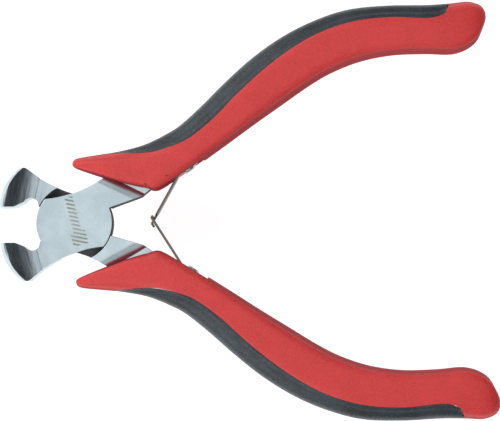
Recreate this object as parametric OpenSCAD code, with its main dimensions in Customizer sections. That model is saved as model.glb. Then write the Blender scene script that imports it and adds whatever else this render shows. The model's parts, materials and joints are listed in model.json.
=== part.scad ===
// Mini end cutting nipper with flush edges: two lapped forgings on one flush rivet,
// two-colour grips, and a pair of hooked leaf springs that open the handles.
//
// Every piece of one side is drawn in that side's own frame, as it lies with the jaws
// shut: the rivet at the origin, jaws towards -X, handles towards +X, this side's
// handle at +Y and its jaw at -Y, and the lap plane at z = 0. The front and back
// placements turn a side open, and the back one also turns it over.

/* [Joint] */
// Thickness of the head at the joint
joint_t = 7; // [5.5:0.1:9]
// Radius of the round lapped plates
lap_r = 8.2; // [7:0.1:9.5]
// Half width of the head at its waist
waist_hw = 6.2; // [5.5:0.05:7.2]
// Radius of the hollow long edges of the head
waist_curve_r = 25; // [20:0.5:35]
// Angle between the two sides at rest, in degrees
open_angle = 26.8; // [20:0.1:30]
// Gap round the lapped plates
lap_gap = 0.15; // [0.05:0.01:0.3]
// Gap between the two lap faces
face_gap = 0.04; // [0.02:0.01:0.1]

/* [Rivet] */
// Diameter of the rivet shank
rivet_d = 4.4; // [3:0.1:5.5]
// Diameter of the flush heads
rivet_head_d = 6; // [4.5:0.1:7]
// Depth of the flush heads
rivet_head_h = 1; // [0.5:0.05:1.5]
// Radial clearance of the rivet in the back half
rivet_gap = 0.04; // [0.02:0.01:0.1]

/* [Jaws] */
// Width of the cutting edge, along the rivet's direction
edge_w = 12.4; // [9:0.1:15]
// Radius of the jaw's rounded nose
nose_r = 10.8; // [9.5:0.1:12]
// Distance from the rivet to the cutting edge
jaw_reach = 16.45; // [15:0.05:19]
// Radius of the hollow flare that widens the jaw
flare_r = 8.6; // [7:0.1:12]
// Inward lean of the nose's rims
nose_bevel = 0.95; // [0.5:0.05:1.2]
// Radius of the throat behind the edge
throat_r = 1.7; // [1.2:0.1:2.2]
// Length of the bevel behind the cutting edge
bevel_len = 3.1; // [2:0.1:4]
// Drop of the bevel behind the cutting edge
bevel_drop = 0.8; // [0.4:0.05:1.4]
// Space left between the two edges when shut
edge_gap = 0.04; // [0.02:0.01:0.1]

/* [Tangs] */
// Thickness of the tang inside the grip
tang_t = 4.6; // [3.6:0.1:5.4]
// Width of the tang where the grip takes over
tang_w = 5.6; // [4.6:0.1:6.2]
// Width of the tang at its far end
tang_tip_w = 3.4; // [2.5:0.1:5]
// Half of the slot between the two tangs when shut
tang_slot = 1.1; // [0.9:0.05:2]
// Radius of the roll where the tang thins
ramp_r = 4; // [3:0.1:6]

/* [Grips] */
// Length of a grip along X
grip_len = 95.2; // [80:0.1:115]
// Width of a grip at the palm
grip_w = 11.8; // [10:0.1:14]
// Thickness of a grip at the palm
grip_t = 10.8; // [8.5:0.1:13]
// Plastic between the tang and the grip's inner edge
grip_wall = 1.1; // [0.9:0.05:1.6]
// Clearance of the tang in its grip
grip_fit = 0.03; // [0.02:0.01:0.1]

/* [Springs] */
// Width of the spring strip
spring_w = 5; // [4:0.1:6]
// Thickness of the spring strip
spring_t = 0.5; // [0.4:0.05:0.6]
// Distance from the rivet to where the two springs cross at rest
spring_meet = 17; // [16:0.05:18]
// Length of the riveted spring foot
foot_len = 4.8; // [4.4:0.1:5.5]
// Diameter of the spring rivet's shank
pin_d = 1.8; // [1.4:0.1:2.2]
// Diameter of the spring rivet's head
pin_head_d = 3.2; // [2.8:0.1:4]
// Width of the window in the spring's end
window_w = 2.6; // [2.2:0.1:3]
// Length of the window in the spring's end
window_len = 2.2; // [2:0.1:2.6]

/* [Hidden] */
half_open = open_angle / 2;
half_t = joint_t / 2;
big = 60;          // larger than any steel piece, for cutting
into = 0.3;        // how far one solid runs into the next

steel = [0.74, 0.79, 0.82];
spring_steel = [0.55, 0.55, 0.53];
grip_red = [0.80, 0.22, 0.22];
insert_grey = [0.22, 0.26, 0.29];

// Head. The nose circle passes through the cutting edge, its centre a little below it.
nose_drop = 2;
rim_depth = 2.6;   // depth over which the nose's rims lean in
nose_x = -jaw_reach + sqrt(nose_r * nose_r - nose_drop * nose_drop);
flare_x = -lap_r - 0.8;
throat_x = -lap_r - throat_r - 0.05;
throat_y = -throat_r;
throat_meet = 222; // where the back of the bevel meets the throat, as an angle round it
bevel_x = -jaw_reach + bevel_len;

// Tang. The line where it starts to thin runs across it at this angle.
ramp_from = [7.2, 6.7];
ramp_turn = 49.3;
ramp_lean = 5;     // slope at which the roll leaves the face
entry_x = 15.5;    // where the slot between the tangs starts to open into the grips
entry_rise = 0.6;
neck_x = 9.2;      // past here the tang leaves the hollow outline of the head
shoulder = [[10.4, 6.9], [7.4, 12], [2, 12]];
tang_from = 5.3;   // station where the grip takes the tang over
tang_to = 15.2;    // station of the tang's far end

// Grip outline as pairs of points, inner edge and outer edge, from nose to tail. They
// are given for a grip 95.2 long and 11.8 wide, and stretched to grip_len and grip_w.
OUTLINE_LEN = 95.2;
OUTLINE_W = 11.8;
INNER = [[2.8, 12.45], [3.5, 11.2], [9.4, 7.25], [13, 4.9], [16.6, 2.95], [18.6, 1.8], [20.6, 2],
         [24.5, 3.4], [30.2, 5.5], [36.5, 7.85], [43, 10.35], [50, 12.9], [57, 15.4], [62.5, 16.85],
         [69, 17.55], [76, 17.05], [83, 15.45], [89.2, 13.75], [94.1, 14.72], [97.2, 18.2], [98, 20.6]];
OUTER = [[2.8, 12.45], [3.8, 13.45], [8, 13.1], [12, 12.65], [15.8, 12.45], [18.6, 12.5], [20.6, 12.75],
         [23.6, 13.35], [27.5, 14.5], [33.2, 17.4], [39.4, 20.95], [46.3, 24.45], [53.6, 27.15],
         [61, 28.75], [69, 29.25], [77.5, 27.9], [86, 25.7], [91.4, 24.6], [95, 24],
         [97.4, 22.5], [98, 20.6]];
// Half thickness at each pair, as a share of the palm's
FULLNESS = [0.3, 0.6, 0.78, 0.85, 0.89, 0.92, 0.93, 0.95, 0.97, 0.98, 1, 1, 1, 1, 1, 1, 0.99,
            0.96, 0.88, 0.68, 0.35];
// Share of the width that the soft insert takes at each pair
INSERT_SHARE = [0, 0, 0, 0.04, 0.13, 0.182, 0.23, 0.308, 0.395, 0.405, 0.358, 0.322, 0.296, 0.276,
                0.28, 0.282, 0.32, 0.325, 0.325, 0.325, 0.325];
insert_from = 2.85;  // stations between which the insert lies
insert_round = 15.95;
insert_to = 16.92;
inner_square = 4;    // 2 is an ellipse, and more is squarer
outer_square = 2.5;
RING = 20;           // points round a grip
STEPS = 2.5;         // rings to each pair
first_ring = 0.1;    // stations of the blunt first and last rings
last_ring = len(INNER) - 1.12;

// Window in the grip's inner edge, and the tang's relief in front of the spring's foot
window_from = 3.9;
window_beyond = 1.08;
window_depth = 1;
tang_relief = 0.5;
relief_run = 0.8;
spring_side_gap = 0.4;

// Spring. Its foot ends at this station of the grip, where the strip bends out.
foot_station = 7;
foot_gap = 0.02;     // under the foot
bend_gap = 0.05;     // between the foot and the round of the bend
pin_share = 0.55;    // place of the rivet along the foot
pin_depth = 2.4;
pin_gap = 0.05;      // round the shank in the foot
pin_head_h = 0.45;
pin_head_gap = 0.04;
pin_top_share = 0.7; // width of the head's top, as a share of its seat
tongue_w = 1.7;
tongue_back = 1.6;   // the tongue starts this far short of the crossing
tongue_past = 0.75;  // and goes this far past it before its hook
hook_len = 0.9;
window_past = 0.45;  // the window goes this far past the crossing
end_bar = 0.45;
end_lip = 0.45;
lip_turn = 100;

// ---- curves

function cubic(a, b, c, d, t) =
    0.5 * (2 * b + (c - a) * t + (2 * a - 5 * b + 4 * c - d) * t * t
           + (3 * b - a - 3 * c + d) * t * t * t);

// Value at station s of the smooth curve through a list of points or numbers.
function along(list, s) =
    let (n = len(list) - 1, i = min(floor(s), n - 1))
    cubic(list[max(i - 1, 0)], list[i], list[i + 1], list[min(i + 2, n)], s - i);

function stretched(p) =
    [INNER[0][0] + (p[0] - INNER[0][0]) * grip_len / OUTLINE_LEN, p[1]];

function inner_at(s) = stretched(along(INNER, s));
function drawn_across(s) = stretched(along(OUTER, s)) - inner_at(s);
function width_at(s) = norm(drawn_across(s)) * grip_w / OUTLINE_W;
function across(s) = drawn_across(s) / norm(drawn_across(s));
function outer_at(s) = inner_at(s) + across(s) * width_at(s);

// Point at a depth from the grip's inner edge, at station s.
function deep(s, depth) = inner_at(s) + across(s) * depth;

function half_thick(s) = grip_t / 2 * along(FULLNESS, s);

// Depth of the tang's inner edge, which draws back in front of the spring's foot.
function tang_depth(s) =
    grip_wall + tang_relief * max(0, min(1, (foot_station - s) / relief_run));

// Share of the insert, rounded off towards its blunt tail end.
function insert_share(s) =
    let (past = max(0, s - insert_round) / (insert_to - insert_round))
    along(INSERT_SHARE, s) * sqrt(max(0, 1 - past * past));

function power(v, e) = sign(v) * pow(abs(v), e);

function ring(s) =
    let (a = inner_at(s), b = outer_at(s), h = half_thick(s))
    [for (k = [0 : RING - 1])
        let (t = 360 * k / RING, e = 2 / (cos(t) > 0 ? inner_square : outer_square),
             u = (1 - power(cos(t), e)) / 2, p = a + (b - a) * u)
        [p[0], p[1], h * power(sin(t), e)]];

// ---- placements

// A piece of the front side, which carries the upper handle.
module front_side() {
    translate([0, 0, half_t]) rotate(half_open) children();
}

// A piece of the back side, which carries the lower handle.
module back_side() {
    translate([0, 0, half_t]) rotate([180, 0, 0]) rotate(half_open) children();
}

// ---- steel halves

// The head between its two hollow long edges.
module head_band() {
    difference() {
        translate([-big / 2, -big / 4]) square([big, big / 2]);
        for (side = [-1, 1])
            translate([0, side * (waist_hw + waist_curve_r)]) circle(waist_curve_r, $fn = 180);
    }
}

module lap_plate_plan() {
    intersection() {
        circle(lap_r, $fn = 120);
        head_band();
    }
}

// Everything on the open side of the jaw: the bevel, the throat and the mouth.
module mouth_plan() {
    low = throat_y - 0.2;  // just under the middle of the throat, so the two shapes cross
    reach = [throat_x, throat_y] + 0.85 * throat_r * [cos(throat_meet), sin(throat_meet)];
    top = 5;
    far = -jaw_reach - 3;
    polygon([[far, -edge_gap / 2], [-jaw_reach, -edge_gap / 2], [bevel_x, -bevel_drop],
             reach, [throat_x, low], [0, low], [0, top], [far, top]]);
    translate([throat_x, throat_y]) circle(throat_r, $fn = 60);
}

module jaw_plan() {
    difference() {
        intersection() {
            translate([nose_x, -nose_drop]) circle(nose_r, $fn = 180);
            head_band();
            translate([-big / 2, -big / 2]) square([big / 2 - 2, big / 2]);
        }
        mouth_plan();
    }
}

// The jaw, flared by a hollow on each face up to the width of the edge.
module jaw() {
    top = edge_w / 2;
    barrel = nose_r + 0.02;
    difference() {
        intersection() {
            translate([0, 0, -top]) linear_extrude(edge_w) jaw_plan();
            translate([nose_x, -nose_drop, 0]) rotate_extrude($fn = 180)
                polygon([[0, -top], [nose_r - nose_bevel, -top], [barrel, rim_depth - top],
                         [barrel, top - rim_depth], [nose_r - nose_bevel, top], [0, top]]);
        }
        for (face = [-1, 1]) {
            translate([flare_x, 0, face * (half_t + flare_r)])
                rotate([90, 0, 0]) cylinder(h = big, r = flare_r, center = true, $fn = 180);
            translate([flare_x - into, -big / 2, face > 0 ? half_t : -half_t - big])
                cube([big, big, big]);
        }
    }
}

// The tang in plan, from inside the head to its far end under the grip.
module tang_plan() {
    n = 30;
    span = tang_to - tang_from;
    inner = [for (k = [0 : n]) let (s = tang_from + span * k / n) deep(s, tang_depth(s))];
    outer = [for (k = [n : -1 : 0])
        deep(tang_from + span * k / n, grip_wall + tang_w + (tang_tip_w - tang_w) * k / n)];
    intersection() {
        polygon(concat([[2, tang_slot], [lap_r, tang_slot], [entry_x, tang_slot + entry_rise]],
                       inner, outer, shoulder));
        union() {
            head_band();
            translate([neck_x, -big]) square([2 * big, 2 * big]);
        }
    }
}

// Thinning of the tang: its face rolls off past the ramp line, then stays thin.
module tang_ramp(face) {
    low = tang_t / 2;
    above = half_t + 5;
    mid = [-ramp_r * sin(ramp_lean), half_t - ramp_r * cos(ramp_lean)];
    reach = mid[0] + sqrt(ramp_r * ramp_r - (low - mid[1]) * (low - mid[1]));
    translate([ramp_from[0], ramp_from[1], 0]) rotate(ramp_turn) mirror([0, 0, face > 0 ? 0 : 1])
        rotate([90, 0, 0]) translate([0, 0, -big]) linear_extrude(2 * big) difference() {
            polygon([[-into, half_t - 0.5], [reach - 0.4, low], [3 * big, low], [3 * big, above],
                     [-into, above]]);
            translate(mid) circle(ramp_r, $fn = 120);
        }
}

module tang() {
    difference() {
        translate([0, 0, -half_t]) linear_extrude(joint_t) tang_plan();
        tang_ramp(1);
        tang_ramp(-1);
    }
}

// Hole for the pivot rivet with its sunk head, from the lap plane to the outer face.
module rivet_hole(clear) {
    translate([0, 0, -1]) cylinder(h = half_t + 2, d = rivet_d + 2 * clear, $fn = 72);
    translate([0, 0, half_t - rivet_head_h])
        cylinder(h = rivet_head_h, d1 = rivet_d + 2 * clear, d2 = rivet_head_d + 2 * clear, $fn = 72);
}

// Blind hole in the tang's inner edge for the spring's rivet.
module pin_place() {
    at = foot_middle();
    translate([at[0], at[1], 0]) rotate([0, 0, foot_turn()]) rotate([-90, 0, 0]) children();
}

module forged_half(clear) {
    difference() {
        union() {
            difference() {
                union() {
                    jaw();
                    tang();
                }
                translate([0, 0, -big]) cylinder(h = big + face_gap / 2, r = lap_r + lap_gap, $fn = 120);
            }
            translate([0, 0, face_gap / 2]) linear_extrude(half_t - face_gap / 2) lap_plate_plan();
        }
        rivet_hole(clear);
        pin_place() cylinder(h = pin_depth, d = pin_d, $fn = 40);
    }
}

module front_half() {
    color(steel) front_side() forged_half(0);
}

module back_half() {
    color(steel) back_side() forged_half(rivet_gap);
}

// One rivet through both halves, ground flush with both faces.
module pivot_rivet() {
    color(steel) cylinder(h = joint_t, d = rivet_d, $fn = 72);
    color(steel) cylinder(h = rivet_head_h, d1 = rivet_head_d, d2 = rivet_d, $fn = 72);
    color(steel) translate([0, 0, joint_t - rivet_head_h])
        cylinder(h = rivet_head_h, d1 = rivet_d, d2 = rivet_head_d, $fn = 72);
}

// ---- grips

// The whole handle, skinned over rings from the nose to the tail.
module handle_form() {
    n = floor((len(INNER) - 1) * STEPS);
    rings = [for (k = [0 : n]) ring(first_ring + (last_ring - first_ring) * k / n)];
    points = [for (r = rings) for (p = r) p];
    sides = [for (k = [0 : n - 1]) for (j = [0 : RING - 1])
        let (a = k * RING + j, b = k * RING + (j + 1) % RING)
        each [[a, b, b + RING], [a, b + RING, a + RING]]];
    caps = [[for (j = [RING - 1 : -1 : 0]) j], [for (j = [0 : RING - 1]) n * RING + j]];
    polyhedron(points, concat(sides, caps), convexity = 6);
}

// Plan of the soft insert: from the line where it meets the hard body to past the outer edge.
module insert_plan() {
    n = 40;
    span = insert_to - insert_from;
    line = [for (k = [0 : n])
        let (s = insert_from + span * k / n)
        deep(s, width_at(s) * (1 - insert_share(s)))];
    beyond = [for (k = [n : -4 : 0])
        let (s = insert_from + span * k / n) deep(s, width_at(s) + 3)];
    polygon(concat(line, beyond));
}

module insert_space() {
    translate([0, 0, -grip_t]) linear_extrude(2 * grip_t) insert_plan();
}

// Window in the grip's inner edge, through which the spring reaches the tang.
module spring_window() {
    n = 8;
    span = foot_station + window_beyond - window_from;
    wide = spring_w + 2 * spring_side_gap;
    floor_line = [for (k = [0 : n]) deep(window_from + span * k / n, grip_wall + window_depth)];
    mouth_line = [for (k = [n : -1 : 0]) deep(window_from + span * k / n, -3)];
    translate([0, 0, -wide / 2]) linear_extrude(wide) polygon(concat(floor_line, mouth_line));
}

module tang_space() {
    translate([0, 0, -tang_t / 2 - grip_fit]) linear_extrude(tang_t + 2 * grip_fit)
        offset(delta = grip_fit) tang_plan();
    difference() {
        translate([0, 0, -half_t]) linear_extrude(joint_t) offset(delta = grip_fit) tang_plan();
        translate([0, 0, grip_fit]) tang_ramp(1);
        translate([0, 0, -grip_fit]) tang_ramp(-1);
    }
}

module grip_body() {
    color(grip_red) difference() {
        handle_form();
        insert_space();
        tang_space();
        spring_window();
    }
}

module grip_insert() {
    color(insert_grey) difference() {
        intersection() {
            handle_form();
            insert_space();
        }
        tang_space();
    }
}

module upper_grip_body() front_side() grip_body();
module upper_grip_insert() front_side() grip_insert();
module lower_grip_body() back_side() grip_body();
module lower_grip_insert() back_side() grip_insert();

// ---- springs

// Direction of the tang's inner edge under the foot, and the foot's two ends on it.
function foot_dir() =
    let (d = deep(foot_station + 0.7, grip_wall) - deep(foot_station, grip_wall)) d / norm(d);
function foot_turn() = atan2(foot_dir()[1], foot_dir()[0]);
function foot_out() = [foot_dir()[1], -foot_dir()[0]];
function foot_start() = deep(foot_station, grip_wall);
function bend_point() = foot_start() + foot_out() * (spring_t / 2 + foot_gap);
function foot_middle() = foot_start() + foot_dir() * foot_len * pin_share;

// Where the springs cross at rest, in a side's own frame.
function cross_point() =
    [spring_meet * cos(half_open), -spring_meet * sin(half_open)];
function arm_vector() = cross_point() - bend_point();
function arm_len() = norm(arm_vector());
function arm_turn() = atan2(arm_vector()[1], arm_vector()[0]);

// The riveted foot, as a plate from the bend along the tang.
module spring_foot() {
    at = bend_point();
    start = spring_t / 2 + bend_gap;
    color(spring_steel) difference() {
        translate([at[0], at[1], 0]) rotate(foot_turn())
            translate([start, -spring_t / 2, -spring_w / 2])
            cube([foot_len - start, spring_t, spring_w]);
        pin_place() cylinder(h = 3 * spring_t, d = pin_d + 2 * pin_gap, center = true, $fn = 40);
    }
}

module spring_rivet() {
    color(spring_steel) pin_place() {
        translate([0, 0, -spring_t - into])
            cylinder(h = pin_depth + spring_t + into, d = pin_d, $fn = 40);
        translate([0, 0, -spring_t - pin_head_gap - pin_head_h])
            cylinder(h = pin_head_h, d1 = pin_head_d * pin_top_share, d2 = pin_head_d, $fn = 40);
    }
}

// Frame of the free arm: its bend at the origin and the crossing point along +X.
module arm_place() {
    at = bend_point();
    translate([at[0], at[1], 0]) rotate(arm_turn()) children();
}

// Common strip of an arm, up to a given length, with a round bend at its root.
module arm_strip(len) {
    cylinder(h = spring_w, d = spring_t, center = true, $fn = 24);
    translate([0, -spring_t / 2, -spring_w / 2]) cube([len, spring_t, spring_w]);
}

// Arm with a narrow tongue that goes through the other arm's window and hooks behind it.
module tongue_arm() {
    full = arm_len() + tongue_past;
    color(spring_steel) arm_place() {
        arm_strip(arm_len() - tongue_back);
        translate([0, -spring_t / 2, -tongue_w / 2]) cube([full, spring_t, tongue_w]);
        translate([full, 0, 0]) {
            cylinder(h = tongue_w, d = spring_t, center = true, $fn = 24);
            rotate(hook_turn()) translate([0, -spring_t / 2, -tongue_w / 2])
                cube([hook_len, spring_t, tongue_w]);
        }
    }
}

// The hook turns back alongside the other arm.
function hook_turn() = 180 - 2 * (180 + arm_turn() + half_open);

// Arm whose end has the window.
module window_arm() {
    far = arm_len() + window_past;
    color(spring_steel) arm_place() difference() {
        union() {
            arm_strip(far + end_bar);
            translate([far + end_bar, 0, 0]) {
                cylinder(h = spring_w, d = spring_t, center = true, $fn = 24);
                rotate(lip_turn) translate([0, -spring_t / 2, -spring_w / 2])
                    cube([end_lip, spring_t, spring_w]);
            }
        }
        translate([far - window_len, -2, -window_w / 2]) cube([window_len, 4, window_w]);
    }
}

module upper_spring_foot() front_side() spring_foot();
module upper_spring_arm() front_side() tongue_arm();
module upper_spring_rivet() front_side() spring_rivet();
module lower_spring_foot() back_side() spring_foot();
module lower_spring_arm() back_side() window_arm();
module lower_spring_rivet() back_side() spring_rivet();

front_half();
back_half();
pivot_rivet();
upper_grip_body();
upper_grip_insert();
lower_grip_body();
lower_grip_insert();
upper_spring_foot();
upper_spring_arm();
upper_spring_rivet();
lower_spring_foot();
lower_spring_arm();
lower_spring_rivet();
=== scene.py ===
import json
import math

import bmesh
import bpy
from mathutils import Matrix, Vector


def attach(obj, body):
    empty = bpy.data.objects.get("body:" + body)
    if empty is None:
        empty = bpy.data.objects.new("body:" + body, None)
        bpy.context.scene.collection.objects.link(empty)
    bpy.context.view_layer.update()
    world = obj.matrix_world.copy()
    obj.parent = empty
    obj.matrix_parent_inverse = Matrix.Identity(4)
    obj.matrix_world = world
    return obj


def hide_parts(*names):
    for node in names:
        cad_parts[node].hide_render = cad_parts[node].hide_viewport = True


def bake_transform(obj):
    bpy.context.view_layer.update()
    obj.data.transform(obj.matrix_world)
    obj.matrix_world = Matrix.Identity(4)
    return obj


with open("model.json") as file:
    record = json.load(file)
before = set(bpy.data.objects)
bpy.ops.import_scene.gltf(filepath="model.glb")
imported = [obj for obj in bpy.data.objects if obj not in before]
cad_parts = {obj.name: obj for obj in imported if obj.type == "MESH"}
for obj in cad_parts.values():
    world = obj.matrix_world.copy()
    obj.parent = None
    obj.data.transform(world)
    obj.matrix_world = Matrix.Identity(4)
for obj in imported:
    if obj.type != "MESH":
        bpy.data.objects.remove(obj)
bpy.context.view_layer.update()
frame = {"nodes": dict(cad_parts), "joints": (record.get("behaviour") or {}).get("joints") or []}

# Lengths below are in millimetres, and become metres as they are used.
MM = 0.001
NODES = frame["nodes"]
PIVOT = next(j for j in frame["joints"] if j["name"] == "pivot")
MID_Z = PIVOT["pos_m"][2]
HALF_OPEN = math.radians(PIVOT["range_deg"][1] / 2)

# A side is drawn in its own frame, as it lies with the jaws shut: the rivet at the
# origin, the handle along +X on the +Y side, the jaw at -X and the lap plane at z = 0.
# SIDES puts it where it rests.
LIFTED = Matrix.Translation((0, 0, MID_Z))
TURNED_OVER = Matrix.Rotation(math.pi, 4, "X")
OPENED = Matrix.Rotation(HALF_OPEN, 4, "Z")
SIDES = {"upper": LIFTED @ OPENED, "lower": LIFTED @ TURNED_OVER @ OPENED}
BODY_OF = {"upper": "front_side", "lower": "back_side"}

UPRIGHT = (math.pi / 2, 0, 0)   # stands a new flat primitive up, facing along Y
SMOOTH_BELOW = 32               # degrees
SLIVER = 0.0005                 # a face or edge below this size is a leftover

# ---- selecting and shaping


def only(obj):
    """Selects one object and makes it active."""
    bpy.ops.object.select_all(action="DESELECT")
    obj.select_set(True)
    bpy.context.view_layer.objects.active = obj


def choose(obj, kind, test):
    """In edit mode, selects just the verts, edges or faces that pass the test."""
    mesh = bmesh.from_edit_mesh(obj.data)
    for part in (*mesh.faces, *mesh.edges, *mesh.verts):
        part.select = False
    for part in getattr(mesh, kind):
        if test(part):
            part.select_set(True)
    mesh.select_flush_mode()
    bmesh.update_edit_mesh(obj.data)


def turn(angle, about):
    """Turns what is selected about a line along Z. With no window the operator turns the other way."""
    bpy.ops.transform.rotate(value=-angle, orient_axis="Z", orient_type="GLOBAL", center_override=about)


def modify(obj, kind, **settings):
    """Adds a modifier with these settings and applies it."""
    only(obj)
    modifier = obj.modifiers.new(kind.lower(), kind)
    for name, value in settings.items():
        setattr(modifier, name, value)
    bpy.ops.object.modifier_apply(modifier=modifier.name)


def copy_of(obj, name):
    """A copy with its own mesh, free of the original's parent and notes."""
    twin = obj.copy()
    twin.data = obj.data.copy()
    twin.name = name
    twin.parent = None
    for key in list(twin.keys()):
        del twin[key]
    bpy.context.scene.collection.objects.link(twin)
    return twin


def settle(obj, place):
    """Moves a piece from its side's own frame to where it rests, in its mesh."""
    only(obj)
    obj.matrix_world = place
    bpy.ops.object.transform_apply(location=True, rotation=True, scale=True)


def soften(obj, least, width, clamp=True, spare=lambda edge: False):
    """Rounds the edges that are sharper than an angle, apart from spared ones, and smooths the rest."""
    only(obj)
    bpy.ops.object.mode_set(mode="EDIT")
    bpy.ops.mesh.select_mode(type="EDGE")
    sharp = math.radians(least)
    choose(obj, "edges", lambda e: e.is_manifold and e.calc_face_angle() > sharp and not spare(e))
    bpy.ops.mesh.bevel(offset=width * MM, segments=2, affect="EDGES", clamp_overlap=clamp)
    bpy.ops.object.mode_set(mode="OBJECT")
    bpy.ops.object.shade_smooth_by_angle(angle=math.radians(SMOOTH_BELOW))


def outline(name, points, low, high):
    """A solid with this outline in plan, from one height to another."""
    bpy.ops.object.select_all(action="DESELECT")
    bpy.ops.mesh.primitive_circle_add(vertices=len(points), radius=MM, fill_type="NGON")
    obj = bpy.context.active_object
    obj.name = name
    bpy.ops.object.mode_set(mode="EDIT")
    bpy.ops.mesh.select_mode(type="VERT")
    for k, point in enumerate(points):
        choose(obj, "verts", lambda v, k=k: v.index == k)
        now = bmesh.from_edit_mesh(obj.data).verts
        now.ensure_lookup_table()
        there = Vector((point[0] * MM, point[1] * MM, low * MM))
        bpy.ops.transform.translate(value=there - now[k].co)
    bpy.ops.mesh.select_all(action="SELECT")
    bpy.ops.mesh.extrude_region_move(TRANSFORM_OT_translate={"value": (0, 0, (high - low) * MM)})
    bpy.ops.mesh.select_all(action="SELECT")
    bpy.ops.mesh.normals_make_consistent(inside=False)
    bpy.ops.object.mode_set(mode="OBJECT")
    return obj


def cut(obj, tool, operation="DIFFERENCE"):
    """Takes the tool's shape out of a piece, or keeps just what is inside it."""
    modify(obj, "BOOLEAN", object=tool, operation=operation, solver="EXACT")


# ---- the grip's outline, with the same points as the CAD: inner edge and outer edge

INNER = [(2.8, 12.45), (3.5, 11.2), (9.4, 7.25), (13, 4.9), (16.6, 2.95), (18.6, 1.8), (20.6, 2),
         (24.5, 3.4), (30.2, 5.5), (36.5, 7.85), (43, 10.35), (50, 12.9), (57, 15.4), (62.5, 16.85),
         (69, 17.55), (76, 17.05), (83, 15.45), (89.2, 13.75), (94.1, 14.72), (97.2, 18.2), (98, 20.6)]
OUTER = [(2.8, 12.45), (3.8, 13.45), (8, 13.1), (12, 12.65), (15.8, 12.45), (18.6, 12.5), (20.6, 12.75),
         (23.6, 13.35), (27.5, 14.5), (33.2, 17.4), (39.4, 20.95), (46.3, 24.45), (53.6, 27.15),
         (61, 28.75), (69, 29.25), (77.5, 27.9), (86, 25.7), (91.4, 24.6), (95, 24),
         (97.4, 22.5), (98, 20.6)]
FULLNESS = [0.3, 0.6, 0.78, 0.85, 0.89, 0.92, 0.93, 0.95, 0.97, 0.98, 1, 1, 1, 1, 1, 1, 0.99,
            0.96, 0.88, 0.68, 0.35]
INSERT_SHARE = [0, 0, 0, 0.04, 0.13, 0.182, 0.23, 0.308, 0.395, 0.405, 0.358, 0.322, 0.296, 0.276,
                0.28, 0.282, 0.32, 0.325, 0.325, 0.325, 0.325]
GRIP_HALF_T = 5.4
GRIP_WALL = 1.1
INSERT_FROM, INSERT_ROUND, INSERT_TO = 2.85, 15.95, 16.92
SEAM_GAP = 0.06         # between the hard body and the insert
BEYOND = 3              # how far a cutting shape goes past the outline
CLEAR_OF_GRIP = 9       # a height above all of the grip
OUTER_SQUARE = 2.5      # 2 is an ellipse, and more is squarer
WALL_DRAFT = 0.16       # lean of the inner side wall
CORNER_SQUARE = 11      # sharpness of the corner between it and the face
RING = 60               # points round the grip
RINGS = 96              # rings along it
FIRST_RING, LAST_RING = 0.05, len(INNER) - 1.08
EASED_OVER = 1.6        # stations at each end where the rings draw closer
WINDOW_FROM, WINDOW_TO = 3.9, 8.08
WINDOW_DEPTH = 1        # past the inner wall
WINDOW_HALF_W = 2.9

# The groove pressed along the insert: where across it, how wide, how deep, and the
# insert's share of the width below which there is none and above which it is full.
GROOVE_AT, GROOVE_SPREAD, GROOVE_DEPTH = 0.48, 0.17, 0.4
GROOVE_LEAST, GROOVE_FULL = 0.05, 0.2


def cubic(a, b, c, d, t):
    """A smooth curve's value between b and c, at t from 0 to 1, with a and d on either side."""
    square = (2 * a - 5 * b + 4 * c - d) * t * t
    cube = (3 * b - a - 3 * c + d) * t ** 3
    return 0.5 * (2 * b + (c - a) * t + square + cube)


def along(values, s):
    """The smooth curve through a list of numbers or points, at station s."""
    last = len(values) - 1
    i = min(int(s), last - 1)
    near = [values[max(i - 1, 0)], values[i], values[i + 1], values[min(i + 2, last)]]
    if isinstance(values[0], tuple):
        return Vector([cubic(*axis, s - i) for axis in zip(*near)])
    return cubic(*near, s - i)


def across(s):
    """The way from the inner edge to the outer one at station s."""
    return (along(OUTER, s) - along(INNER, s)).normalized()


def width_at(s):
    return (along(OUTER, s) - along(INNER, s)).length


def deep(s, depth):
    """The point at a depth from the grip's inner edge."""
    return along(INNER, s) + across(s) * depth


def insert_share(s):
    """The insert's share of the width, rounded off towards its tail end."""
    past = max(0, s - INSERT_ROUND) / (INSERT_TO - INSERT_ROUND)
    return along(INSERT_SHARE, s) * math.sqrt(max(0, 1 - past * past))


def section(x, z):
    """How far the grip's section reaches in a direction: flat and drafted inside, round outside."""
    if x < 0:
        flat, wall = abs(z), abs(x) + WALL_DRAFT * abs(z)
        return (flat ** CORNER_SQUARE + wall ** CORNER_SQUARE) ** (-1 / CORNER_SQUARE)
    return (x ** OUTER_SQUARE + abs(z) ** OUTER_SQUARE) ** (-1 / OUTER_SQUARE)


def spread(low, high, steps):
    """Evenly spaced values from low to high."""
    return [low + (high - low) * k / steps for k in range(steps + 1)]


def eased(low, high, steps):
    """Stations from low to high that draw closer together towards both ends."""
    close = 8
    near = spread(0, 1, close)
    first = [low + (EASED_OVER - low) * t * t for t in near]
    last = [high - (EASED_OVER - low) * t * t for t in reversed(near)]
    return first + spread(first[-1], last[0], steps - 2 * close)[1:-1] + last


# ---- grips


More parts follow.
